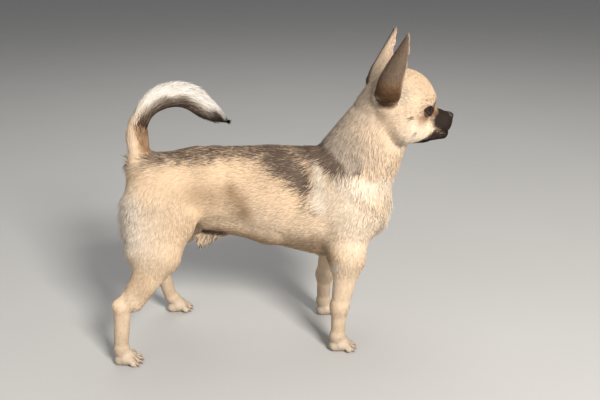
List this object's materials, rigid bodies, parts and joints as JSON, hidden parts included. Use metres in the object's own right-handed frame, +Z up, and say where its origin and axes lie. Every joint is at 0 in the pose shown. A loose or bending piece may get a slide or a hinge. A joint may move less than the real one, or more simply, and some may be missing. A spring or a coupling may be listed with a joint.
{
  "type": "standing chihuahua dog",
  "caption": "Life-size short-haired chihuahua, standing still with its head up and its tail curled over the back.",
  "frame": {"origin": "on the floor, under the middle of the dog's bounding box", "axes": "+X towards the nose, +Y towards the dog's left side, +Z up"},
  "size_m": [0.3522, 0.1308, 0.3309],
  "materials": {
    "coat": "short cream-fawn coat",
    "saddle": "longer fawn coat with dark-tipped hair",
    "ear_fur": "very short dark velvet coat",
    "tail_fur": "long pale hair, dark towards the tip",
    "paw_fur": "short whitish coat with dark claws",
    "nose_leather": "moist black leather",
    "eyeball": "dark brown eye, wet gloss"
  },
  "bodies": {
    "root": {"head": "coat", "neck": "saddle", "torso": "coat", "nose": "nose_leather", "eye_right": "eyeball", "eye_left": "eyeball", "ear_right": "ear_fur", "ear_left": "ear_fur", "tail_root": "tail_fur", "tail_middle": "tail_fur", "tail_tip": "tail_fur", "upper_arm_right": "coat", "upper_arm_left": "coat", "forearm_right": "coat", "forearm_left": "coat", "forepaw_right": "paw_fur", "forepaw_left": "paw_fur", "thigh_right": "coat", "thigh_left": "coat", "lower_leg_right": "coat", "lower_leg_left": "coat", "rear_pastern_right": "coat", "rear_pastern_left": "coat", "hindpaw_right": "paw_fur", "hindpaw_left": "paw_fur"}
  },
  "joints": []
}
